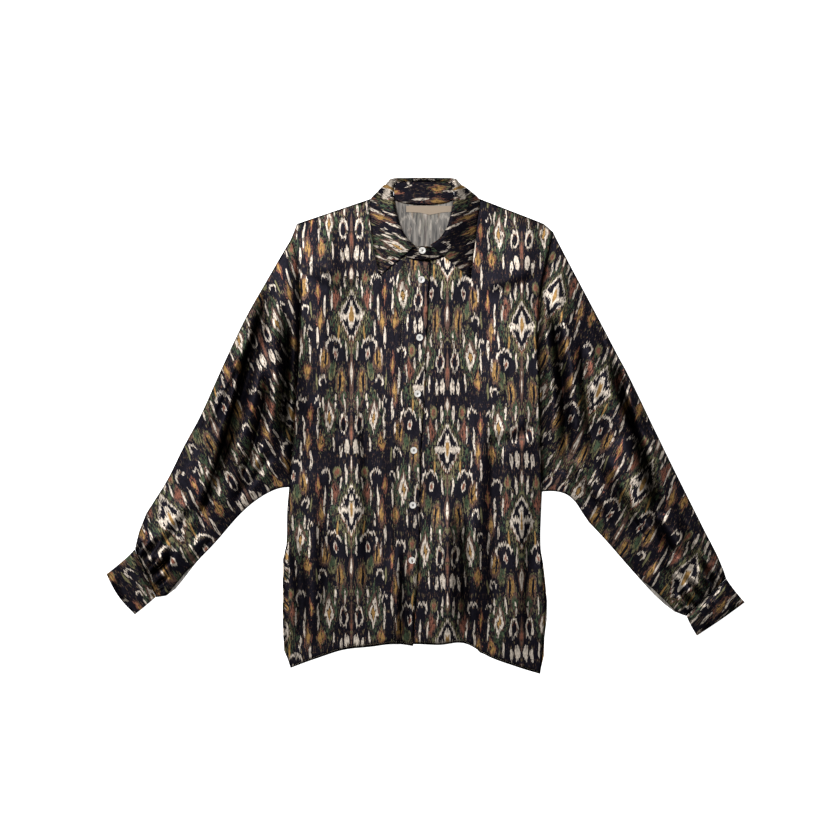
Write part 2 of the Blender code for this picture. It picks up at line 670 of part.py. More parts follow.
def build_button(name, x, y, bottom, look):
    """A turned disc with a raised rim round a sunk middle."""
    work = bmesh.new()
    radius = BUTTON_RADIUS
    profile = [
        (0.0, 0.0),
        (radius * 0.72, 0.0),
        (radius, BUTTON_THICKNESS * 0.42),
        (radius * 0.93, BUTTON_THICKNESS),
        (radius * 0.70, BUTTON_THICKNESS * 0.95),
        (radius * 0.56, BUTTON_THICKNESS * 0.66),
        (0.0, BUTTON_THICKNESS * 0.66),
    ]
    corners = [work.verts.new((across, 0, height)) for across, height in profile]
    for first, second in zip(corners, corners[1:]):
        work.edges.new((first, second))
    bmesh.ops.spin(
        work,
        geom=work.verts[:] + work.edges[:],
        cent=(0, 0, 0),
        axis=(0, 0, 1),
        angle=2 * math.pi,
        steps=16,
        use_merge=True,
    )
    bmesh.ops.remove_doubles(work, verts=work.verts, dist=0.001)
    bmesh.ops.recalc_face_normals(work, faces=work.faces)
    bmesh.ops.scale(work, vec=(MM, MM, MM), verts=work.verts)
    bmesh.ops.translate(work, vec=(x * MM, y * MM, bottom * MM), verts=work.verts)
    mesh = bpy.data.meshes.new(name)
    work.to_mesh(mesh)
    work.free()
    mesh.materials.append(look)
    made = bpy.data.objects.new(name, mesh)
    bpy.context.collection.objects.link(made)


for leftover in list(bpy.data.objects):
    bpy.data.objects.remove(leftover, do_unlink=True)

build_back(material("back satin", COLOURS["cloth"], 0.55))
build_front("front_right", "right", RIGHT, material("right front satin", COLOURS["cloth"], 0.55))
build_front("front_left", "left", LEFT, material("left front satin", COLOURS["cloth"], 0.55))
for stretch_name, stretch_sections in STAND_STRETCHES.items():
    stand_look = material(stretch_name + " satin", COLOURS["collar"], 0.55)
    ribbon(stretch_name, stretch_sections, 2, [0, 0.33, 0.67, 1], INTERFACED, stand_look)
fall_look = material("collar satin", COLOURS["collar"], 0.55)
ribbon("collar_fall", FALL_SECTIONS, 2, [0, 0.5, 1, 1.5, 2, 2.33, 2.67, 3], INTERFACED, fall_look)
for cuff_name in CUFF_SECTIONS:
    build_cuff(cuff_name, material(cuff_name + " satin", COLOURS["collar"], 0.55))
build_label(material("label tape", COLOURS["label"], 0.8))
for number, (button_x, button_y) in enumerate(BUTTONS, start=1):
    bottom = LAPPED_Z + CLOTH / 2 + SEAM
    if number == 1:
        bottom = STAND_TAB_Z + INTERFACED / 2 + SEAM
    pearl = material(f"button {number} pearl", COLOURS["pearl"], 0.25)
    build_button(f"button_{number}", button_x, button_y, bottom, pearl)
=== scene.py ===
"""The kimono shirt, dressed: printed satin, blank woven label and pearl buttons, laid flat on a pale floor.

Everything is in the frame's metres: +X to the viewer's right, +Y to the collar, +Z off the floor.
"""

import math

import bmesh
import bpy
import numpy as np
from mathutils import Matrix, Vector
from mathutils.bvhtree import BVHTree
from mathutils.kdtree import KDTree


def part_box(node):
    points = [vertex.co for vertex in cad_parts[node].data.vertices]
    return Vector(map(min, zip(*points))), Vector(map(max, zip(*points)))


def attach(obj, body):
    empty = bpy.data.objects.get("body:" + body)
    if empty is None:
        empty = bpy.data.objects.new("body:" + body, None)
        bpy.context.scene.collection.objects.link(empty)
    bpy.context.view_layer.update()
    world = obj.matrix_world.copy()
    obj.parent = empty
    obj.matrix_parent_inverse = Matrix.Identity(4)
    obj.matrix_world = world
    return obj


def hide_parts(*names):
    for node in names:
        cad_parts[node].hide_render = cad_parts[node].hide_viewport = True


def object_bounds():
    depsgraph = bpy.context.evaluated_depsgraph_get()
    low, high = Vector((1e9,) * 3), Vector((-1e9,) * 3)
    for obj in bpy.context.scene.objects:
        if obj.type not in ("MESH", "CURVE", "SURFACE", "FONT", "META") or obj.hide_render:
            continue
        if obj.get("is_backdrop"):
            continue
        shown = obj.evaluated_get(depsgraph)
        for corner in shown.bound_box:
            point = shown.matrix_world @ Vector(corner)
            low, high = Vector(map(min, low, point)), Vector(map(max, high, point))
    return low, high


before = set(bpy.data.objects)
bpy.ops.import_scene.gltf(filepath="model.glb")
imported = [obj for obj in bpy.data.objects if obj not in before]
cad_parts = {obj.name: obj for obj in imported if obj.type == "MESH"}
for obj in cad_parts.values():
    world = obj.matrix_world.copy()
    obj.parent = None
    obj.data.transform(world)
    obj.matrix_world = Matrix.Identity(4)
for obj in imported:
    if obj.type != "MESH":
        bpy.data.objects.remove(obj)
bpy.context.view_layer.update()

# The studio: a plain white table seen straight from above with a long lens, as for a catalogue picture.
# The main softbox hangs high over the far left corner, with two weaker ones low at the left and right,
# so folds that run down the shirt have a lit side and a dark one.
PICTURE_WIDTH = 1.428
PICTURE_CENTRE = (-0.0095, 0.0096)
LENS_MM = 85.0
SENSOR_MM = 36.0

camera_data = bpy.data.cameras.new("catalogue camera")
camera_data.lens = LENS_MM
camera_data.sensor_width = SENSOR_MM
camera_data.dof.use_dof = False
camera = bpy.data.objects.new("catalogue camera", camera_data)
bpy.context.scene.collection.objects.link(camera)
camera.location = (*PICTURE_CENTRE, PICTURE_WIDTH * LENS_MM / SENSOR_MM)
bpy.context.scene.camera = camera


def linear(hex_colour):
    """The linear colour of an sRGB hex value."""
    parts = [int(hex_colour[i:i + 2], 16) / 255 for i in (0, 2, 4)]
    return (*[p / 12.92 if p <= 0.04045 else ((p + 0.055) / 1.055) ** 2.4 for p in parts], 1.0)


def blank_material(name):
    """A material with only a Principled shader, and its tree and shader."""
    made = bpy.data.materials.new(name)
    made.use_nodes = True
    return made, made.node_tree, made.node_tree.nodes["Principled BSDF"]


# Opal acrylic, lit from below as on a catalogue table: an even white with hardly a shadow
TABLE_WHITE = "F4F4F4"
TABLE_GLOW = 0.95
TABLE_SIZE = 60
opal, tree, shader = blank_material("lit opal acrylic")
shader.inputs["Base Color"].default_value = linear(TABLE_WHITE)
shader.inputs["Roughness"].default_value = 0.6
shader.inputs["Emission Color"].default_value = linear("FFFFFF")
shader.inputs["Emission Strength"].default_value = TABLE_GLOW
bpy.ops.object.select_all(action="DESELECT")
bpy.ops.mesh.primitive_plane_add(size=TABLE_SIZE, location=(0, 0, 0))
table = bpy.context.object
table.name = "table"
table.data.materials.append(opal)
table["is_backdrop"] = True

# Softboxes: name, place in m, side in m and power in W
LIGHTS = [
    ("overhead softbox", (-0.8, 0.9, 3.1), 0.8, 87),
    ("left softbox", (-1.9, 1.15, 1.3), 0.6, 20),
    ("right softbox", (2.0, 0.9, 1.6), 0.9, 5),
]
for light_name, place, size, power in LIGHTS:
    lamp_data = bpy.data.lights.new(light_name, "AREA")
    lamp_data.size = size
    lamp_data.energy = power
    lamp = bpy.data.objects.new(light_name, lamp_data)
    bpy.context.scene.collection.objects.link(lamp)
    lamp.location = place
    lamp.rotation_euler = (-Vector(place)).to_track_quat("-Z", "Y").to_euler()
ROOM_LIGHT = 0.06
room = bpy.data.worlds.new("pale studio")
room.use_nodes = True
room.node_tree.nodes["Background"].inputs["Color"].default_value = linear("FFFFFF")
room.node_tree.nodes["Background"].inputs["Strength"].default_value = ROOM_LIGHT
bpy.context.scene.world = room
bpy.context.scene.view_settings.view_transform = "Standard"


# Back: one panel of printed polyester satin with both sleeve backs cut on, lying flat under the rest.
# Its printed side is underneath, so the paler wrong side shows in the neck and at the sleeve vents,
# and its turned hems show the print again below the slits.

# The print in mm: mirrored columns and their repeat, each column lower than the last by a share of it
COLUMN = 126.0
REPEAT = 330.0
DROP = 0.37
# Ikat threads are dyed in tied bundles before weaving, and the bundles slip, which feathers every edge.
# A real bundle is under 1 mm wide, too fine to show here, so it is drawn twice as wide.
THREAD_BUNDLE = 1.9
FEATHER = 26.0
SWAY = 9.0
# How fast each changes along the cloth, in waves a millimetre
SLIP_RATE = 0.014
SWAY_RATE = 0.03
STREAK_RATE = 0.09
# The dye takes unevenly: strays of other inks by chance from 0 to 1, and the least and most strength
STRAYS = [(0.0, "ground"), (0.74, "brown"), (0.79, "ground"), (0.86, "green"), (0.91, "rust"),
          (0.96, "olive")]
DYE_STRENGTH = (0.5, 1.15)
INK = {
    "ground": "15131D",
    "cream": "D8CBBC",
    "ochre": "A98450",
    "rust": "885848",
    "olive": "777354",
    "green": "46543F",
    "brown": "644C43",
}
# Motifs of the print: name, shape, centre across and along its column, half width and height in mm,
# then bands from the middle out, each where it starts, its ink and how densely the threads take it
MOTIFS = [
    ("halo", "lozenge", 0, 72, 40, 84, [(0, "rust", 0.57), (0.5, "olive", 0.46), (0.74, "green", 0.39)]),
    ("foot halo", "lozenge", 38, -92, 22, 62,
     [(0, "brown", 0.64), (0.5, "green", 0.46), (0.8, "olive", 0.27)]),
    ("heart", "lozenge", 0, 78, 22, 44, [(0, "ground", 0.95), (0.84, "cream", 0.56)]),
    ("bar", "oval", 11, 78, 10, 5, [(0, "cream", 0.72)]),
    ("post", "oval", 0, 78, 5, 24, [(0, "ochre", 0.87), (0.55, "cream", 0.81)]),
    ("root", "lozenge", 0, -18, 4.5, 52, [(0, "cream", 0.81), (0.42, "brown", 0.73)]),
    ("leaf", "oval", 18, -36, 9, 27, [(0, "ochre", 0.66), (0.62, "brown", 0.73), (0.84, "olive", 0.46)]),
    ("leaf's vein", "oval", 20, -38, 2, 19, [(0, "ground", 0.9)]),
    ("outer leaf", "oval", 33, -12, 7, 20, [(0, "green", 0.64), (0.6, "olive", 0.55)]),
    ("crook", "oval", 30, 24, 14, 17, [(0, "ground", 0), (0.78, "cream", 0.79)]),
    ("crook's gap", "oval", 25, 12, 15, 16, [(0, "ground", 1)]),
    ("crook's drop", "oval", 27, 14, 4, 8, [(0, "rust", 0.73), (0.6, "cream", 0.63)]),
    ("ring", "oval", 48, -34, 7, 9, [(0, "ground", 0), (0.62, "cream", 0.77)]),
    ("ring's gap", "oval", 45, -41, 6, 8, [(0, "ground", 1)]),
    ("spindle", "lozenge", 38, -96, 8, 27, [(0, "ground", 0.9), (0.5, "cream", 0.68)]),
    ("spindle's eye", "lozenge", 38, -96, 3, 10, [(0, "ochre", 0.91)]),
    ("low stem", "lozenge", 0, -118, 4, 40, [(0, "rust", 0.73), (0.5, "brown", 0.64)]),
    ("low leaf", "oval", 13, -104, 7, 18, [(0, "rust", 0.55), (0.6, "cream", 0.61)]),
    ("low leaf's heart", "oval", 13, -107, 3.6, 12, [(0, "ground", 0.95)]),
    ("tuft", "oval", 8, -146, 4.5, 12, [(0, "cream", 0.72)]),
    ("tuft's side", "oval", 18, -150, 3, 11, [(0, "cream", 0.63)]),
    ("side bud", "lozenge", 52, 70, 9, 30, [(0, "ochre", 0.64), (0.5, "brown", 0.64), (0.78, "rust", 0.36)]),
    ("side dash", "oval", 46, 92, 1.9, 24, [(0, "cream", 0.65)]),
    ("side shoot", "oval", 57, 40, 2.2, 17, [(0, "cream", 0.65)]),
    ("finial", "lozenge", 0, 150, 4, 26, [(0, "cream", 0.77), (0.55, "brown", 0.73)]),
    ("finial's wing", "oval", 10, 138, 2.4, 15, [(0, "cream", 0.63)]),
    ("seeds", "oval", 24, 142, 6, 10, [(0, "rust", 0.73), (0.58, "olive", 0.64)]),
    ("top crook", "oval", 42, 136, 9, 12, [(0, "ground", 0), (0.72, "cream", 0.74)]),
    ("top crook's gap", "oval", 46, 128, 9, 12, [(0, "ground", 1)]),
    ("inner dash", "oval", 9, 18, 1.7, 17, [(0, "cream", 0.63)]),
    ("foot dash", "oval", 56, -104, 1.8, 24, [(0, "cream", 0.59)]),
    ("foot shoot", "oval", 27, -66, 1.8, 15, [(0, "cream", 0.59)]),
    ("cluster", "oval", 45, 2, 9, 21, [(0, "ochre", 0.6), (0.7, "brown", 0.64)]),
    ("cluster's hatch", "oval", 43, 4, 1.6, 15, [(0, "ground", 0.9)]),
    ("cluster's edge", "oval", 51, 10, 1.5, 13, [(0, "cream", 0.54)]),
    ("low cluster", "lozenge", 51, -138, 10, 22,
     [(0, "ochre", 0.6), (0.6, "rust", 0.55), (0.8, "olive", 0.36)]),
    ("rust patch", "lozenge", 28, 108, 13, 30,
     [(0, "rust", 0.55), (0.6, "brown", 0.55), (0.8, "green", 0.36)]),
    ("cone's stroke", "oval", 33, 102, 1.7, 16, [(0, "cream", 0.59)]),
    ("nib", "oval", 40, 58, 1.8, 13, [(0, "cream", 0.63)]),
    ("high nib", "oval", 18, 122, 1.7, 11, [(0, "cream", 0.59)]),
    ("green patch", "lozenge", 12, -62, 13, 34,
     [(0, "green", 0.57), (0.5, "brown", 0.46), (0.8, "olive", 0.36)]),
    ("reed", "oval", 11, -70, 1.6, 14, [(0, "cream", 0.63)]),
    ("side reed", "oval", 47, -68, 1.7, 13, [(0, "cream", 0.59)]),
    ("outer reed", "oval", 58, -34, 1.6, 14, [(0, "olive", 0.82)]),
    ("low nib", "oval", 31, -142, 1.7, 13, [(0, "cream", 0.63)]),
    ("hook", "oval", 56, -72, 5, 8, [(0, "ground", 0), (0.6, "cream", 0.68)]),
    ("hook's gap", "oval", 58, -77, 5, 7, [(0, "ground", 1)]),
    ("top cluster", "lozenge", 57, 118, 5, 20, [(0, "ochre", 0.73), (0.5, "rust", 0.55)]),
    ("arrow", "oval", 22, 48, 1.6, 12, [(0, "ochre", 0.82)]),
]


def add_node(tree, kind, inputs, **settings):
    """Adds a node. Inputs are given by name or number, each a value or another node's socket."""
    node = tree.nodes.new(kind)
    for setting, value in settings.items():
        setattr(node, setting, value)
    for socket, value in inputs.items():
        if isinstance(value, bpy.types.NodeSocket):
            tree.links.new(value, node.inputs[socket])
        else:
            node.inputs[socket].default_value = value
    return node


def ikat_print(tree):
    """The print's colour, from the cloth's own map in metres: mirrored columns of feathered motifs."""
    cut = add_node(tree, "ShaderNodeUVMap", {}, uv_map="cut")
    mm = add_node(tree, "ShaderNodeVectorMath", {0: cut.outputs[0], "Scale": 1000.0}, operation="SCALE")
    parts = add_node(tree, "ShaderNodeSeparateXYZ", {0: mm.outputs[0]})
    column = add_node(tree, "ShaderNodeMath", {0: parts.outputs[0], 1: COLUMN}, operation="DIVIDE")
    number = add_node(tree, "ShaderNodeMath", {0: column.outputs[0]}, operation="ROUND")
    off_axis = add_node(tree, "ShaderNodeMath", {0: number.outputs[0], 1: -COLUMN, 2: parts.outputs[0]},
                        operation="MULTIPLY_ADD")
    across = add_node(tree, "ShaderNodeMath", {0: off_axis.outputs[0]}, operation="ABSOLUTE")
    bundle = add_node(tree, "ShaderNodeMath", {0: across.outputs[0], 1: 1 / THREAD_BUNDLE},
                      operation="MULTIPLY")
    slow = add_node(tree, "ShaderNodeMath", {0: parts.outputs[1], 1: SLIP_RATE}, operation="MULTIPLY")
    tie = add_node(tree, "ShaderNodeCombineXYZ",
                   {0: bundle.outputs[0], 1: slow.outputs[0], 2: number.outputs[0]})
    shift = add_node(tree, "ShaderNodeTexNoise", {"Vector": tie.outputs[0], "Scale": 1.0, "Detail": 1.0})
    feather = add_node(tree, "ShaderNodeMath", {0: shift.outputs[0], 1: FEATHER, 2: parts.outputs[1]},
                       operation="MULTIPLY_ADD")
    dropped = add_node(tree, "ShaderNodeMath",
                       {0: number.outputs[0], 1: REPEAT * DROP, 2: feather.outputs[0]},
                       operation="MULTIPLY_ADD")
    down = add_node(tree, "ShaderNodeMath", {0: dropped.outputs[0], 1: REPEAT / 2, 2: -REPEAT / 2},
                    operation="WRAP")
    sway_place = add_node(tree, "ShaderNodeVectorMath", {0: mm.outputs[0], "Scale": SWAY_RATE},
                          operation="SCALE")
    sway = add_node(tree, "ShaderNodeTexNoise",
                    {"Vector": sway_place.outputs[0], "Scale": 1.0, "Detail": 1.0})
    swayed = add_node(tree, "ShaderNodeMath", {0: sway.outputs[0], 1: SWAY, 2: -SWAY / 2},
                      operation="MULTIPLY_ADD")
    drawn = add_node(tree, "ShaderNodeMath", {0: swayed.outputs[0], 1: across.outputs[0]}, operation="ADD")
    spot = add_node(tree, "ShaderNodeCombineXYZ", {0: drawn.outputs[0], 1: down.outputs[0]})
    quick = add_node(tree, "ShaderNodeMath", {0: parts.outputs[1], 1: STREAK_RATE},
                     operation="MULTIPLY")
    dye = add_node(tree, "ShaderNodeCombineXYZ", {0: bundle.outputs[0], 1: quick.outputs[0], 2: 9.0})
    streak = add_node(tree, "ShaderNodeTexNoise", {"Vector": dye.outputs[0], "Scale": 1.0, "Detail": 2.0})
    spread = add_node(tree, "ShaderNodeMath", {0: streak.outputs[0], 1: 2.4, 2: -0.7},
                      operation="MULTIPLY_ADD", use_clamp=True)
    stray = add_node(tree, "ShaderNodeValToRGB", {0: spread.outputs[0]})
    stray.color_ramp.interpolation = "CONSTANT"
    while len(stray.color_ramp.elements) < len(STRAYS):
        stray.color_ramp.elements.new(0.5)
    for element, (start, ink) in zip(stray.color_ramp.elements, STRAYS):
        element.position = start
        element.color = linear(INK[ink])
    colour = stray.outputs[0]
    for _, shape, u, v, half_width, half_height, rings in MOTIFS:
        scale = (1 / half_width, 1 / half_height, 0)
        shift_by = (-u / half_width, -v / half_height, 0)
        near = add_node(tree, "ShaderNodeVectorMath", {0: spot.outputs[0], 1: scale, 2: shift_by},
                        operation="MULTIPLY_ADD")
        if shape == "oval":
            reach = add_node(tree, "ShaderNodeVectorMath", {0: near.outputs[0]}, operation="LENGTH")
        else:
            sizes = add_node(tree, "ShaderNodeVectorMath", {0: near.outputs[0]}, operation="ABSOLUTE")
            reach = add_node(tree, "ShaderNodeVectorMath", {0: sizes.outputs[0], 1: (1, 1, 0)},
                             operation="DOT_PRODUCT")
        ramp = add_node(tree, "ShaderNodeValToRGB", {0: reach.outputs["Value"]})
        ramp.color_ramp.interpolation = "CONSTANT"
        stops = rings + [(0.999, "ground", 0)]
        while len(ramp.color_ramp.elements) < len(stops):
            ramp.color_ramp.elements.new(0.5)
        for element, (start, ink, cover) in zip(ramp.color_ramp.elements, stops):
            element.position = start
            element.color = (*linear(INK[ink])[:3], cover * 1.02)
        taken = add_node(tree, "ShaderNodeMath", {0: ramp.outputs[1], 1: spread.outputs[0]},
                         operation="GREATER_THAN")
        mix = add_node(tree, "ShaderNodeMix", {0: taken.outputs[0], 6: colour, 7: ramp.outputs[0]},
                       data_type="RGBA")
        colour = mix.outputs[2]
    patchy = add_node(tree, "ShaderNodeVectorMath", {0: dye.outputs[0], 1: (0.7, 2.3, 5.0)},
                      operation="MULTIPLY")
    uneven = add_node(tree, "ShaderNodeTexNoise", {"Vector": patchy.outputs[0], "Scale": 1.0, "Detail": 2.0})
    weakest, strongest = DYE_STRENGTH
    strength = add_node(tree, "ShaderNodeMapRange",
                        {0: uneven.outputs[0], 1: 0.3, 2: 0.7, 3: weakest, 4: strongest})
    inked = add_node(tree, "ShaderNodeVectorMath", {0: colour, "Scale": strength.outputs[0]},
                     operation="SCALE")
    return inked.outputs[0]


# Relief in waves a metre, across the cloth and along it. Real satin floats are a few tenths of a
# millimetre wide, too fine to show, so they are drawn a millimetre wide.
SLACK_WAVES = (26, 8, 1)
SLACK_HEIGHT = 0.006
SATIN_FLOATS = (900, 240, 1)
FLOAT_HEIGHT = 0.0004


def satin_relief(tree, shader):
    """Soft unevenness and the weave, as the light sees them on satin."""
    cut = add_node(tree, "ShaderNodeUVMap", {}, uv_map="cut")
    hang = add_node(tree, "ShaderNodeMapping", {"Vector": cut.outputs[0], "Scale": SLACK_WAVES})
    slack = add_node(tree, "ShaderNodeTexNoise", {"Vector": hang.outputs[0], "Scale": 1.0,
                                                  "Detail": 3.0, "Roughness": 0.5})
    soft = add_node(tree, "ShaderNodeBump", {"Height": slack.outputs[0], "Strength": 0.5,
                                             "Distance": SLACK_HEIGHT})
    fine = add_node(tree, "ShaderNodeMapping", {"Vector": cut.outputs[0], "Scale": SATIN_FLOATS})
    weave = add_node(tree, "ShaderNodeTexNoise", {"Vector": fine.outputs[0], "Scale": 1.0, "Detail": 1.0})
    fine_bump = add_node(tree, "ShaderNodeBump", {"Height": weave.outputs[0], "Strength": 0.3,
                                                  "Distance": FLOAT_HEIGHT, "Normal": soft.outputs[0]})
    tree.links.new(fine_bump.outputs[0], shader.inputs["Normal"])


# Printed polyester satin, ikat style: near-black with cream, ochre and rust inks. The light shines back
# from inside the dyed floats, so the sheen has the dye's colour and slopes turned away go black.
# The attribute painted_shade is painted shade: how deep in a crease or seam the cloth is, darkening the dye
# and the white sheen there, because the real folds are deeper than the laid-out height has room for, and
# hardly any light comes back out of them, none of it white.
PAINTED_SHADE_DARKNESS = 0.96
DYED_SHEEN = 0.6
WHITE_SHEEN = 0.14
satin, tree, shader = blank_material("printed satin")
painted_shade = add_node(tree, "ShaderNodeAttribute", {}, attribute_name="painted_shade")
# Painted shade: the print is darkened by the painted shade attribute, and the sheen becomes wholly dyed
# there, so no white comes back
lit = add_node(tree, "ShaderNodeMath", {0: painted_shade.outputs["Fac"], 1: -PAINTED_SHADE_DARKNESS, 2: 1.0},
               operation="MULTIPLY_ADD")
seen = add_node(tree, "ShaderNodeVectorMath", {0: ikat_print(tree), "Scale": lit.outputs[0]},
                operation="SCALE")
tree.links.new(seen.outputs[0], shader.inputs["Base Color"])
dyed = add_node(tree, "ShaderNodeMath", {0: painted_shade.outputs["Fac"], 1: 1 - DYED_SHEEN, 2: DYED_SHEEN},
                operation="MULTIPLY_ADD")
tree.links.new(dyed.outputs[0], shader.inputs["Metallic"])
shader.inputs["Specular IOR Level"].default_value = WHITE_SHEEN
shader.inputs["Roughness"].default_value = 0.5
satin_relief(tree, shader)

# The satin's wrong side: the dull weft face, grey with painted sheen in long streaks, where the print only
# shines through
WRONG_SIDE_GREY = "B4ADA4"
WRONG_SIDE_SHADE = "5C5A58"
SHEEN_STREAK_WAVES = (230, 26, 1)
SHINE_THROUGH = 0.32
wrong_side, tree, shader = blank_material("satin wrong side")
cut = add_node(tree, "ShaderNodeUVMap", {}, uv_map="cut")
floats = add_node(tree, "ShaderNodeMapping", {"Vector": cut.outputs[0], "Scale": SHEEN_STREAK_WAVES})
sheen_streaks = add_node(tree, "ShaderNodeTexNoise", {"Vector": floats.outputs[0], "Scale": 1.0, "Detail": 2.0})
# Painted sheen: lighter and darker grey in streaks along the cloth
sheen_streak_share = add_node(tree, "ShaderNodeMapRange", {0: sheen_streaks.outputs[0], 1: 0.34, 2: 0.66})
grey = add_node(tree, "ShaderNodeMix", {0: sheen_streak_share.outputs[0], 6: linear(WRONG_SIDE_SHADE),
                                        7: linear(WRONG_SIDE_GREY)}, data_type="RGBA")
through = add_node(tree, "ShaderNodeMix", {0: SHINE_THROUGH, 6: grey.outputs[2], 7: ikat_print(tree)},
                   data_type="RGBA")
tree.links.new(through.outputs[2], shader.inputs["Base Color"])
shader.inputs["Roughness"].default_value = 0.75
satin_relief(tree, shader)


def merged_copy(node_name, piece_name):
    """A copy of a solid, its loose triangles merged into one skin, with quads where they pair up."""
    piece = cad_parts[node_name].copy()
    piece.data = piece.data.copy()
    piece.name = piece_name
    bpy.context.scene.collection.objects.link(piece)
    piece.data.materials.clear()
    work = bmesh.new()
    work.from_mesh(piece.data)
    bmesh.ops.remove_doubles(work, verts=work.verts, dist=0.00002)
    bmesh.ops.join_triangles(work, faces=work.faces, angle_face_threshold=math.radians(35),
                             angle_shape_threshold=math.radians(60))
    work.to_mesh(piece.data)
    work.free()
    return piece


def lay_cut(piece, place):
    """Gives a piece its map on the cloth: place turns x, y of a face's middle and corner into u, v."""
    layer = piece.data.uv_layers.new(name="cut")
    for face in piece.data.polygons:
        for corner in face.loop_indices:
            spot = piece.data.vertices[piece.data.loops[corner].vertex_index].co
            layer.data[corner].uv = place(face.center, spot)


# In m: below this height and this near the middle, the back's turned hem and edges show the print
SKIRT_TOP = -0.2
BODY_HALF = 0.28
back = merged_copy("back", "back_panel")
back.data.materials.append(satin)
back.data.materials.append(wrong_side)
for face in back.data.polygons:
    on_skirt = face.center.y < SKIRT_TOP and abs(face.center.x) < BODY_HALF
    face.material_index = 1 if face.normal.z > 0.5 and not on_skirt else 0
lay_cut(back, lambda middle, spot: (spot.x, spot.y))
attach(back, "root")
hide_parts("back")


# Fronts: each is one panel of the same satin with its sleeve front cut on. The body's surplus cloth
# folds under at the armhole, where the sleeve was pulled down, so the body lies over its own sleeve.
FOLD_LINES = {
    "right": [(-228.8, 317), (-218.6, 281), (-212, 230), (-213.5, 128), (-218.6, 64), (-223.7, -17),
              (-232, -104)],
    "left": [(216.6, 329), (206, 285), (194.5, 230), (188, 139), (192.8, 81), (194.5, -26), (198, -112)],
}
# Creases: start, middle and end x y, half width and height in mm, and lean to one side
CREASES = {
    "right": [
        (-262, 262, -306, 84, -362, -104, 12.5, -19.0, 0.3),
        (-328, 6, -352, -72, -388, -168, 10.0, -17.0, 0.3),
        (-259, 246, -310, 92, -352, -86, 4.2, -9.0, 0.5),
        (-330, -8, -359, -84, -384, -166, 4.0, -9.0, -0.4),
        (-273, 93, -282, 8, -332, -152, 9.2, -14.0, 0.3),
        (-237, 220, -238, 80, -250, -70, 10.3, -16.8, -0.2),
        (-361, -190, -378, -210, -402, -236, 8.0, -7.0, 0.3),
        (-425, -190, -440, -224, -456, -256, 8.0, -7.0, 0.3),
        (-392, -130, -424, -176, -468, -222, 9.2, -7.0, 0.3),
        (-288, 160, -334, 60, -378, -40, 9.2, -8.4, 0.3),
        (-262, -40, -290, -84, -330, -130, 9.2, -7.0, 0.3),
        (-206, 270, -150, 240, -96, 226, 12.0, -4.4, 0.3),
        (-214, 40, -170, 0, -116, -14, 12.0, -4.4, 0.3),
        (-228, -190, -214, -270, -212, -390, 12.0, -8.5, 0.3),
        (-176, -120, -168, -250, -172, -370, 14.0, -6.8, -0.3),
        (-112, 60, -98, -120, -104, -330, 14.0, -5.8, 0.3),
        (-276, 208, -356, 46, -447, -128, 4.0, -3.4, 0.0),
        (-37, -205, -38, -300, -40, -392, 9.0, -13.0, 0.2),
    ],
    "left": [
        (314, 96, 356, -12, 398, -170, 4.6, -10.0, 0.0),
        (318, 124, 334, 52, 366, -36, 10.3, -19.6, -0.3),
        (352, -6, 374, -70, 402, -176, 12.6, -21.0, -0.3),
        (388, -150, 404, -186, 432, -232, 9.2, -12.6, -0.3),
        (209, 222, 229, 80, 240, -80, 10.3, -19.6, 0.2),
        (262, 150, 268, 60, 286, -70, 10.3, -11.2, 0.3),
        (240, -60, 268, -104, 330, -186, 9.2, -7.0, -0.3),
        (300, -50, 330, -120, 386, -210, 9.2, -9.8, -0.3),
        (430, -150, 448, -196, 470, -250, 9.2, -8.4, -0.3),
        (400, -226, 414, -252, 436, -286, 8.0, -7.0, -0.3),
        (196, 260, 150, 236, 96, 224, 12.0, -4.4, 0.3),
        (190, 10, 150, -20, 100, -28, 12.0, -4.4, 0.3),
        (178, -130, 176, -250, 172, -380, 13.0, -7.5, 0.3),
        (60, -130, 62, -250, 66, -385, 13.0, -15.3, -0.4),
        (268, 205, 351, 44, 437, -130, 4.0, -3.4, 0.0),
        (122, 40, 110, -140, 118, -360, 14.0, -6.1, 0.3),
    ],
}
# A crease this deep in mm is wholly dark with painted shade, and that painted dark core is this many times
# narrower than its trough
FULL_PAINTED_SHADE_DEPTH = 17.0
PAINTED_SHADE_NARROWING = 1.3
# Soft shoulders rise beside a trough: their share of its depth, and how many times its width they reach
SHOULDER = 0.7
SHOULDER_WIDTH = 2.3
# A crease fades in and out over one part in this many of its length, and its curve has so many points
CREASE_ENDS = 3.5
CREASE_STEPS = 11


def smooth(value):
    """Goes from 0 to 1 with level ends."""
    value = np.clip(value, 0.0, 1.0)
    return value * value * (3 - 2 * value)


def path_distance(x, y, path):
    """How far places x, y lie from a path in mm, on which side, and how far along it."""
    nearest = np.full_like(x, 1e6)
    side = np.zeros_like(x)
    share = np.zeros_like(x)
    for i, ((x1, y1), (x2, y2)) in enumerate(zip(path[:-1], path[1:])):
        run_x, run_y = x2 - x1, y2 - y1
        part = np.clip(((x - x1) * run_x + (y - y1) * run_y) / (run_x ** 2 + run_y ** 2), 0, 1)
        off_x, off_y = x - x1 - part * run_x, y - y1 - part * run_y
        distance = np.hypot(off_x, off_y)
        closer = distance < nearest
        nearest = np.where(closer, distance, nearest)
        side = np.where(closer, np.sign(run_x * off_y - run_y * off_x), side)
        share = np.where(closer, (i + part) / (len(path) - 1), share)
    return nearest, side, share


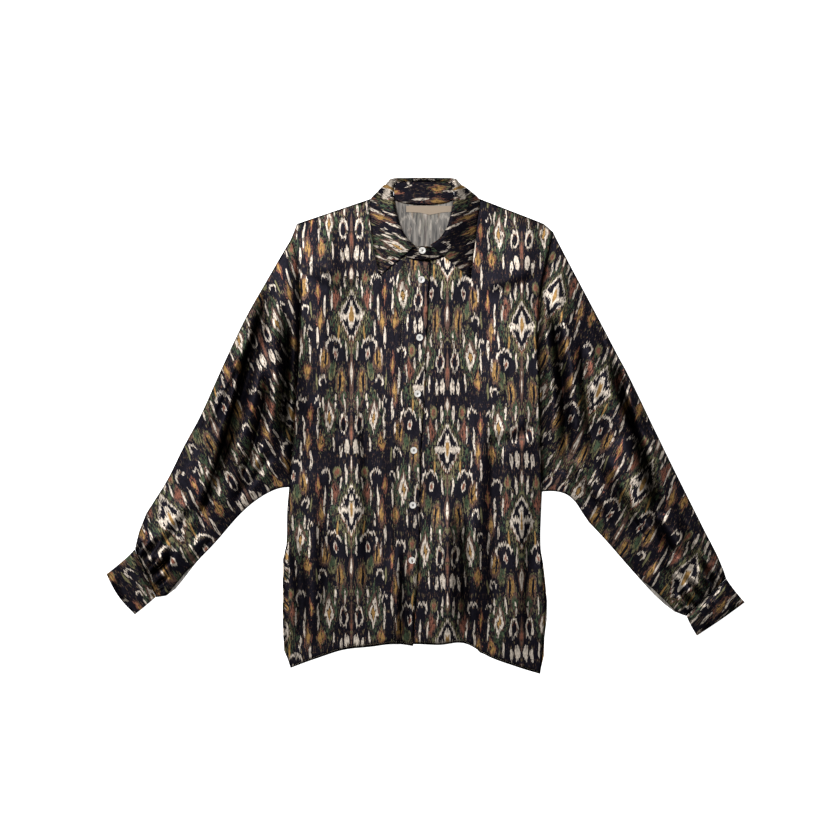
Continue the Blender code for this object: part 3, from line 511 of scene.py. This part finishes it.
def crease_heights(x, y, rows):
    """Height in mm that the creases give to places x, y, a trough between soft shoulders, and the painted
    shade in them.
    """
    total = np.zeros_like(x)
    painted_shade = np.zeros_like(x)
    for x1, y1, x2, y2, x3, y3, width, height, lean in rows:
        bend_x, bend_y = 2 * x2 - (x1 + x3) / 2, 2 * y2 - (y1 + y3) / 2
        path = [((1 - t) ** 2 * x1 + 2 * t * (1 - t) * bend_x + t ** 2 * x3,
                 (1 - t) ** 2 * y1 + 2 * t * (1 - t) * bend_y + t ** 2 * y3)
                for t in np.linspace(0, 1, CREASE_STEPS)]
        nearest, side, share = path_distance(x, y, path)
        fade = smooth(share * CREASE_ENDS) * smooth((1 - share) * CREASE_ENDS)
        near = nearest / width
        trough = np.exp(-near * near) * (1 + lean * side * near)
        shoulders = SHOULDER * np.exp(-(near / SHOULDER_WIDTH) ** 2)
        total += height * fade * (trough - shoulders)
        # Painted shade in the crease's core, stronger the deeper the crease
        painted_shade += min(1.0, -height / FULL_PAINTED_SHADE_DEPTH) * fade * np.exp(-(near * PAINTED_SHADE_NARROWING) ** 2)
    return total, painted_shade


# Gathers into a cuff: share along the seam from its upper end, length, half width and height in mm
GATHERS = {
    "right": [(0.08, 30, 4.0, -7), (0.24, 52, 5.5, -13), (0.46, 34, 4.2, -8), (0.6, 62, 6.0, -15),
              (0.82, 40, 5.0, -12), (0.94, 24, 3.4, -8)],
    "left": [(0.07, 26, 4.0, -7), (0.22, 60, 5.5, -13), (0.37, 32, 4.0, -8), (0.55, 52, 5.0, -12),
             (0.76, 44, 5.5, -13), (0.92, 28, 3.6, -8)],
}
# The seam with the cuff: upper end, lower end, and the way that the sleeve goes from it
CUFF_SEAMS = {
    "right": ((-494.0, -209.7), (-458.3, -291.3), (0.72, 0.69)),
    "left": ((510.7, -259.8), (442.7, -323.1), (-0.6, 0.8)),
}
# A gather starts this far inside the cuff, and the gathers fan out along the seam's length, in mm
GATHER_START = 12
SEAM_LENGTH = 90
GATHER_FAN = 0.35


def gather_rows(side):
    """The gathers as crease rows, each fanning out from the cuff seam."""
    (x1, y1), (x2, y2), (way_x, way_y) = CUFF_SEAMS[side]
    rows = []
    for share, length, width, height in GATHERS[side]:
        x, y = x1 + (x2 - x1) * share, y1 + (y2 - y1) * share
        fan = (0.5 - share) * GATHER_FAN
        go_x, go_y = way_x + (x1 - x2) / SEAM_LENGTH * fan, way_y + (y1 - y2) / SEAM_LENGTH * fan
        rows.append((x - go_x * GATHER_START, y - go_y * GATHER_START,
                     x + go_x * length * 0.4, y + go_y * length * 0.4,
                     x + go_x * length, y + go_y * length, width, height, 0.2))
    return rows


# Stitched lines in mm: the cloth is drawn in a little along each, and painted shade darkens it there. One
# holds the right front's folded facing, and one runs along each hem.
SEAM_DEPTH = 0.8
SEAM_WIDTH = 1.8
SEAM_PAINTED_SHADE = 0.8
FACING_STITCHES = [(-34.5, 276), (-38.8, 193), (-42, 100), (-46, 0), (-50.5, -110), (-53.7, -211),
                   (-54, -366)]
HEM_DEPTH = 4.4
HEM_SPANS = {"right": (-222, -16), "left": (-14, 186)}
HEM_POINTS = 30
HEM_REACH = 5


def hem_stitches(piece, side):
    """A line in mm, HEM_DEPTH above the lowest cloth that is within HEM_REACH of each of its points."""
    places = np.empty(len(piece.data.vertices) * 3)
    piece.data.vertices.foreach_get("co", places)
    places = places.reshape(-1, 3) * 1000
    first, last = HEM_SPANS[side]
    return [(x, places[np.abs(places[:, 0] - x) < HEM_REACH][:, 1].min() + HEM_DEPTH)
            for x in np.linspace(first, last, HEM_POINTS)]


# In degrees: edges that turn by more than this are rims and stay sharp, and a rim that bends to less
# than this has a corner
RIM_ANGLE = 50
CORNER_ANGLE = 140


def refine(piece, levels):
    """Rounds a merged copy with subdivision, keeping its rims and its corners."""
    work = bmesh.new()
    work.from_mesh(piece.data)
    crease = work.edges.layers.float.new("crease_edge")
    corner = work.verts.layers.float.new("crease_vert")
    for edge in work.edges:
        if len(edge.link_faces) == 2 and edge.calc_face_angle() > math.radians(RIM_ANGLE):
            edge[crease] = 1.0
    for vertex in work.verts:
        rims = [edge for edge in vertex.link_edges if edge[crease] > 0.5]
        if len(rims) == 2:
            first, second = (edge.other_vert(vertex).co - vertex.co for edge in rims)
            if first.angle(second, 0) < math.radians(CORNER_ANGLE):
                vertex[corner] = 1.0
        elif len(rims) > 2:
            vertex[corner] = 1.0
    work.to_mesh(piece.data)
    work.free()
    bpy.ops.object.select_all(action="DESELECT")
    piece.select_set(True)
    bpy.context.view_layer.objects.active = piece
    rounding = piece.modifiers.new("rounding", "SUBSURF")
    rounding.levels = rounding.render_levels = levels
    bpy.ops.object.modifier_apply(modifier="rounding")
    bpy.ops.object.shade_smooth_by_angle(angle=math.radians(RIM_ANGLE))


# The sleeve runs in under the body's fold, where it gets painted shade, in mm: how wide and strong that
# painted shade is, its lower and upper end, over how much it fades there, and how far from the fold it
# starts
FOLD_PAINTED_SHADE = {"right": (16.0, 0.9, -118, 300), "left": (13.0, 0.9, -125, 310)}
FOLD_FADE = (50, 40)
FOLD_EDGE = 0.8
# The cuff seam holds the cloth down, so creases fade over this many mm before it
CUFF_HOLD = 14.0
# In m: how high the middle of a front's wall lies at its lowest, its play there, and its thickness
FRONT_MIDDLE = 0.0018
CLEARANCE = 0.0002
WALL = 0.001
# The cloth turns down at its rims, and painted shade draws a thin dark line round it, this strong and wide
# in mm
RIM_PAINTED_SHADE = 0.9
RIM_WIDTH = 2.4


def press_creases(piece, side, rows, seams):
    """Moves a cloth wall up and down by its creases and seams, never below the place where it lies, and
    stores its painted shade.
    """
    mesh = piece.data
    places = np.empty(len(mesh.vertices) * 3)
    normals = np.empty(len(mesh.vertices) * 3)
    mesh.vertices.foreach_get("co", places)
    mesh.vertices.foreach_get("normal", normals)
    places, normals = places.reshape(-1, 3), normals.reshape(-1, 3)
    x, y = places[:, 0] * 1000, places[:, 1] * 1000
    height, painted_shade = crease_heights(x, y, rows)
    height /= 1000
    # Seams draw the cloth in, with painted shade along them
    for path in seams:
        drawn_in = np.exp(-(path_distance(x, y, path)[0] / SEAM_WIDTH) ** 2)
        height -= SEAM_DEPTH / 1000 * drawn_in
        painted_shade += SEAM_PAINTED_SHADE * drawn_in
    upper, lower, _ = CUFF_SEAMS[side]
    height *= smooth(path_distance(x, y, [upper, lower])[0] / CUFF_HOLD)
    # Painted shade on the sleeve beside the armhole fold, fading at its ends
    outside = (x / 1000 - fold_x(side, y / 1000)) * (-1000 if side == "right" else 1000)
    width, strength, low, high = FOLD_PAINTED_SHADE[side]
    beside = np.exp(-(outside / width) ** 2) * (outside > FOLD_EDGE)
    painted_shade += strength * beside * smooth((y - low) / FOLD_FADE[0]) * smooth((high - y) / FOLD_FADE[1])
    # Painted shade in a thin line along the rims
    rim_places = places[np.abs(normals[:, 2]) < 0.5] * 1000
    rim = KDTree(len(rim_places))
    for i, place in enumerate(rim_places):
        rim.insert(place, i)
    rim.balance()
    rim_distance = np.array([rim.find(place)[2] for place in places * 1000])
    painted_shade += RIM_PAINTED_SHADE * np.exp(-(rim_distance / RIM_WIDTH) ** 2)
    middle = places[:, 2] - normals[:, 2] * WALL / 2
    room_below = np.maximum(middle - FRONT_MIDDLE - CLEARANCE, 0)
    places[:, 2] += np.maximum(height, -room_below)
    mesh.vertices.foreach_set("co", places.ravel())
    mesh.attributes.new("painted_shade", "FLOAT", "POINT").data.foreach_set("value", np.clip(painted_shade, 0, 1))
    mesh.update()


def fold_x(side, y):
    """The x of the armhole fold at y, in metres."""
    rows = FOLD_LINES[side][::-1]
    return np.interp(y * 1000, [row[1] for row in rows], [row[0] for row in rows]) / 1000


# The left front was cut from another place along the cloth, so its print doesn't meet the right one's.
# A sleeve's print turns about the sleeve's middle by so many degrees, and more towards its inner edge.
CUT_SHIFT = {"right": (0.0, 0.0), "left": (-0.037, 0.105)}
SLEEVE_TURN = {"right": 21.0, "left": -20.0}
SLEEVE_PIVOT = {"right": (-0.330, 0.060), "left": (0.330, 0.040)}
INNER_TURN = 0.22
# In m: a sleeve starts this far from the shirt's middle and ends at this height. Its half width, and the
# way across it towards its inner edge, as shares towards the body and towards the hem.
SLEEVE_TOP = 0.18
SLEEVE_END = -0.33
SLEEVE_HALF = 0.15
SLEEVE_ACROSS = (0.88, 0.47)


def turned(x, y, degrees):
    """The place x, y seen along a grain that is turned by so many degrees."""
    turn = math.radians(degrees)
    return x * math.cos(turn) + y * math.sin(turn), -x * math.sin(turn) + y * math.cos(turn)


def front_cut(side):
    """The map of a front: upright on the body, turned on the sleeve as the sleeve was pulled down."""
    sign = -1 if side == "right" else 1
    along, up = CUT_SHIFT[side]
    pivot_x, pivot_y = SLEEVE_PIVOT[side]

    def place(middle, spot):
        on_sleeve = (middle.x - fold_x(side, middle.y)) * sign > WALL and middle.y > SLEEVE_END
        if not on_sleeve or middle.x * sign < SLEEVE_TOP:
            return spot.x + along, spot.y + up
        x, y = spot.x - pivot_x, spot.y - pivot_y
        inward = (-sign * x * SLEEVE_ACROSS[0] - y * SLEEVE_ACROSS[1]) / SLEEVE_HALF
        u, v = turned(x, y, SLEEVE_TURN[side] * (1 + INNER_TURN * inward))
        return u + pivot_x + along, v + pivot_y + up

    return place


# Polyester sewing thread, slightly glossy: drab in the seams, where it shows as light specks
thread, tree, shader = blank_material("drab sewing thread")
shader.inputs["Base Color"].default_value = linear("A89D8C")
shader.inputs["Roughness"].default_value = 0.5
STITCH_PITCH = 0.003
STITCH_LENGTH = 0.0022
THREAD_RADIUS = 0.00018
THREAD_SIDES = 5
# A stitch is a thin spindle of three rings: each one's place in the stitch's length, and its size
STITCH_RINGS = [(-0.32, 0.8), (0.0, 1.0), (0.32, 0.8)]


def stitch_rows(name, host, paths):
    """Small stitches along paths in mm, lying on a piece and dipping into it, as one mesh."""
    skin = BVHTree.FromObject(host, bpy.context.evaluated_depsgraph_get())
    points, faces = [], []
    for path in paths:
        spots = [Vector((x, y, 0)) / 1000 for x, y in path]
        for start, end in zip(spots[:-1], spots[1:]):
            run = end - start
            count = max(1, round(run.length / STITCH_PITCH))
            for i in range(count):
                above = start + run * (i + 0.5) / count + Vector((0, 0, 0.1))
                place, normal, _, _ = skin.ray_cast(above, Vector((0, 0, -1)))
                if place is None or normal.z < 0.3:
                    continue
                along = (run - normal * run.dot(normal)).normalized()
                across = normal.cross(along)
                base = len(points)
                points.append(place - along * STITCH_LENGTH / 2 - normal * THREAD_RADIUS)
                for shift, size in STITCH_RINGS:
                    centre = place + along * shift * STITCH_LENGTH + normal * THREAD_RADIUS * 0.5
                    for step in range(THREAD_SIDES):
                        angle = math.tau * step / THREAD_SIDES
                        points.append(centre + (across * math.cos(angle) + normal * math.sin(angle))
                                      * THREAD_RADIUS * size)
                points.append(place + along * STITCH_LENGTH / 2 - normal * THREAD_RADIUS)
                first, second, third = (base + 1 + THREAD_SIDES * ring for ring in range(3))
                for step in range(THREAD_SIDES):
                    after = (step + 1) % THREAD_SIDES
                    faces.append((base, first + step, first + after))
                    for near, far in ((first, second), (second, third)):
                        faces.append((near + step, far + step, far + after, near + after))
                    faces.append((third + THREAD_SIDES, third + after, third + step))
    mesh = bpy.data.meshes.new(name)
    mesh.from_pydata(points, [], faces)
    work = bmesh.new()
    work.from_mesh(mesh)
    bmesh.ops.recalc_face_normals(work, faces=work.faces)
    work.to_mesh(mesh)
    work.free()
    mesh.polygons.foreach_set("use_smooth", [True] * len(mesh.polygons))
    row = bpy.data.objects.new(name, mesh)
    bpy.context.scene.collection.objects.link(row)
    row.data.materials.append(thread)
    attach(row, "root")
    return row


# What each front was cut to, with the surplus that its armhole fold takes up
for side in ("right", "left"):
    front = merged_copy("front_" + side, side + "_front_panel")
    refine(front, 3)
    seams = [hem_stitches(front, side)] + ([FACING_STITCHES] if side == "right" else [])
    press_creases(front, side, CREASES[side] + gather_rows(side), seams)
    front.data.materials.append(satin)
    lay_cut(front, front_cut(side))
    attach(front, "root")
    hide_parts("front_" + side)
    row = stitch_rows(side + "_front_stitches", front, seams)


# Collar stand: an interlined satin band round the neck, its right end lapped over the left one and
# buttoned. Seen from above it shows inside the neck and between the points of the collar.
# Painted shade, even all over each stretch of the stand, as the collar's leaves and the neck shade it
STAND_PAINTED_SHADE = {"right": 0.78, "back": 0.4, "left": 0.72}
STAND_SHIFT = 0.05


def paint_shade_evenly(piece, depth):
    """Paints the same shade all over a piece, as it lies in the shade of its neighbours."""
    shade = piece.data.attributes.new("painted_shade", "FLOAT", "POINT")
    shade.data.foreach_set("value", [depth] * len(piece.data.vertices))


for stretch in ("right", "back", "left"):
    stand = merged_copy("collar_stand_" + stretch, stretch + "_stand_band")
    refine(stand, 2)
    stand.data.materials.append(satin)
    paint_shade_evenly(stand, STAND_PAINTED_SHADE[stretch])
    lay_cut(stand, lambda middle, spot: (spot.y + STAND_SHIFT, spot.x))
    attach(stand, "root")
    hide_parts("collar_stand_" + stretch)


# Collar fall: two layers of satin with interlining, turned down over the stand, with two long points.
# It was cut along the cloth, so its print runs across the leaves.
LEAF_TURN = 68.0
# Painted shade, even all over the leaves, which also takes down their sheen
LEAF_PAINTED_SHADE = 0.42
NECK_MIDDLE = -0.0027
NECK_BACK = 0.38


def fall_cut(middle, spot):
    """The map of the fall: turned one way on the right leaf and the other way on the left one."""
    side = -1 if middle.x < NECK_MIDDLE else 1
    return turned(spot.x - NECK_MIDDLE, spot.y - NECK_BACK, -side * LEAF_TURN)


fall = merged_copy("collar_fall", "turned_down_collar")
refine(fall, 2)
fall.data.materials.append(satin)
paint_shade_evenly(fall, LEAF_PAINTED_SHADE)
lay_cut(fall, fall_cut)
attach(fall, "root")
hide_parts("collar_fall")


# Cuffs: interlined satin bands, folded double and sewn to the gathered sleeve ends, lying as flattened
# tubes. Each was cut across the sleeve's own grain, so its print leans with the sleeve.
# Painted shade, even all over each cuff, which also takes down their sheen
CUFF_PAINTED_SHADE = 0.2
CUFF_TURN = {"right": 38.0, "left": -42.0}
for side in ("right", "left"):
    cuff = merged_copy("cuff_" + side, side + "_sleeve_cuff")
    refine(cuff, 2)
    cuff.data.materials.append(satin)
    paint_shade_evenly(cuff, CUFF_PAINTED_SHADE)
    lay_cut(cuff, lambda middle, spot, degrees=CUFF_TURN[side]: turned(spot.x, spot.y, degrees))
    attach(cuff, "root")
    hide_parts("cuff_" + side)


# Neck label: a strip of cream woven polyester tape, sewn flat to the back by a few machine stitches at
# its two ends. It is left blank.

# Woven taffeta tape: fine ribs across give it a dull sheen. They are drawn about twice as wide as the
# real ones, which are too fine to show.
LABEL_CREAM = "AD9A85"
LABEL_SHADE = "998772"
RIB_SCALE = 400.0
tape, tree, shader = blank_material("cream woven tape")
where = add_node(tree, "ShaderNodeTexCoord", {})
ribs = add_node(tree, "ShaderNodeTexWave", {"Vector": where.outputs["Object"], "Scale": RIB_SCALE,
                                            "Distortion": 0.4}, bands_direction="X")
tone = add_node(tree, "ShaderNodeMix", {0: ribs.outputs["Fac"], 6: linear(LABEL_SHADE),
                                        7: linear(LABEL_CREAM)}, data_type="RGBA")
tree.links.new(tone.outputs[2], shader.inputs["Base Color"])
rib_bump = add_node(tree, "ShaderNodeBump", {"Height": ribs.outputs["Fac"], "Strength": 0.3,
                                             "Distance": 0.0002})
tree.links.new(rib_bump.outputs[0], shader.inputs["Normal"])
shader.inputs["Roughness"].default_value = 0.6
label = merged_copy("neck_label", "blank_neck_label")
label.data.materials.append(tape)
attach(label, "root")
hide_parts("neck_label")
# The stitched lines at its ends, in mm
LABEL_ENDS = [[(-31.2, 372.4), (-31.2, 364)], [(42.0, 372.4), (42.0, 364.6)]]
stitch_rows("label_stitches", label, LABEL_ENDS)


# Buttons: seven moulded pearl polyester discs with a raised rim and four holes, each sewn through
# with dark thread. The first is on the stand and the rest go down the right front's edge.
BUTTON_COUNT = 7
BUTTON_RADIUS = 0.00575
BUTTON_HEIGHT = 0.0022
BUTTON_RIM = 0.0013
DISH_SLOPE = 0.0007
DISH = 0.0006
EDGE_ROUND = 0.00045
HOLE_RADIUS = 0.00085
HOLE_SPREAD = 0.00135

# Pearl polyester: glossy, nearly white, with a faint cloudy swirl
pearl, tree, shader = blank_material("pearl polyester")
where = add_node(tree, "ShaderNodeTexCoord", {})
swirl = add_node(tree, "ShaderNodeTexNoise", {"Vector": where.outputs["Object"], "Scale": 260.0,
                                              "Detail": 2.0, "Distortion": 1.5})
pearl_tone = add_node(tree, "ShaderNodeMix", {0: swirl.outputs[0], 6: linear("DAD6CE"), 7: linear("F6F4EF")},
                      data_type="RGBA")
tree.links.new(pearl_tone.outputs[2], shader.inputs["Base Color"])
shader.inputs["Roughness"].default_value = 0.16
shader.inputs["Coat Weight"].default_value = 0.4

# One disc at the origin: its upper face is inset to a rim and sunk, its edges are rounded, and the four
# holes are drilled
bpy.ops.object.select_all(action="DESELECT")
bpy.ops.mesh.primitive_cylinder_add(vertices=40, radius=BUTTON_RADIUS, depth=BUTTON_HEIGHT,
                                    location=(0, 0, BUTTON_HEIGHT / 2))
disc = bpy.context.object
bpy.ops.object.transform_apply(location=True, rotation=True, scale=True)
bpy.ops.object.mode_set(mode="EDIT")
bpy.ops.mesh.select_all(action="DESELECT")
work = bmesh.from_edit_mesh(disc.data)
for face in work.faces:
    if face.normal.z > 0.9:
        face.select_set(True)
bmesh.update_edit_mesh(disc.data)
bpy.ops.mesh.inset(thickness=BUTTON_RIM)
bpy.ops.mesh.inset(thickness=DISH_SLOPE)
bpy.ops.transform.translate(value=(0, 0, -DISH))
bpy.ops.object.mode_set(mode="OBJECT")
rounding = disc.modifiers.new("rim", "BEVEL")
rounding.width = EDGE_ROUND
rounding.segments = 3
rounding.limit_method = "ANGLE"
rounding.angle_limit = math.radians(25)
bpy.ops.object.modifier_apply(modifier="rim")
for step in range(4):
    angle = math.radians(45 + 90 * step)
    bpy.ops.object.select_all(action="DESELECT")
    bpy.ops.mesh.primitive_cylinder_add(
        vertices=14, radius=HOLE_RADIUS, depth=BUTTON_HEIGHT * 3,
        location=(math.cos(angle) * HOLE_SPREAD, math.sin(angle) * HOLE_SPREAD, 0))
    drill = bpy.context.object
    hole = disc.modifiers.new("hole", "BOOLEAN")
    hole.object = drill
    hole.operation = "DIFFERENCE"
    hole.solver = "EXACT"
    bpy.context.view_layer.objects.active = disc
    bpy.ops.object.modifier_apply(modifier="hole")
    bpy.data.objects.remove(drill, do_unlink=True)
disc.data.materials.append(pearl)
bpy.ops.object.select_all(action="DESELECT")
disc.select_set(True)
bpy.context.view_layer.objects.active = disc
bpy.ops.object.shade_smooth_by_angle(angle=math.radians(35))

# Button thread: dark and nearly dull, several turns of it through the holes, so it makes a small
# dark spot on the pearl
THREAD_ARCH = 0.45
STRAND_RADIUS = 0.00032
STRAND_GAP = 0.00028
THREAD_SINK = 0.0001
dark_thread, tree, shader = blank_material("dark button thread")
shader.inputs["Base Color"].default_value = linear("1E1B18")
shader.inputs["Roughness"].default_value = 0.6

# Two turns of thread over each pair of holes, as low arches that go down into the holes
bpy.ops.object.select_all(action="DESELECT")
half = HOLE_SPREAD * math.sqrt(0.5)
loops = []
for row_y in (-half, half):
    for strand in (-1, 1):
        bpy.ops.mesh.primitive_torus_add(
            major_segments=12, minor_segments=6, major_radius=half, minor_radius=STRAND_RADIUS,
            location=(0, row_y + strand * STRAND_GAP, BUTTON_HEIGHT - DISH - THREAD_SINK),
            rotation=(math.radians(90), 0, 0))
        bpy.ops.transform.resize(value=(1, 1, THREAD_ARCH))
        loops.append(bpy.context.object)
for loop in loops:
    loop.select_set(True)
bpy.ops.object.join()
sewing = bpy.context.object
bpy.ops.object.transform_apply(location=True, rotation=True, scale=True)
sewing.data.materials.append(dark_thread)
bpy.ops.object.shade_smooth()

for number in range(1, BUTTON_COUNT + 1):
    low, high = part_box(f"button_{number}")
    place = Matrix.Translation(((low.x + high.x) / 2, (low.y + high.y) / 2, low.z))
    button, sewn = disc.copy(), sewing.copy()
    for piece, pattern, name in ((button, disc, "pearl_button_"), (sewn, sewing, "button_thread_")):
        piece.name = f"{name}{number}"
        piece.data = pattern.data.copy()
        piece.data.transform(place)
        bpy.context.scene.collection.objects.link(piece)
        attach(piece, "root")
    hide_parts(f"button_{number}")
for pattern in (disc, sewing):
    bpy.data.objects.remove(pattern, do_unlink=True)

low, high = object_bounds()
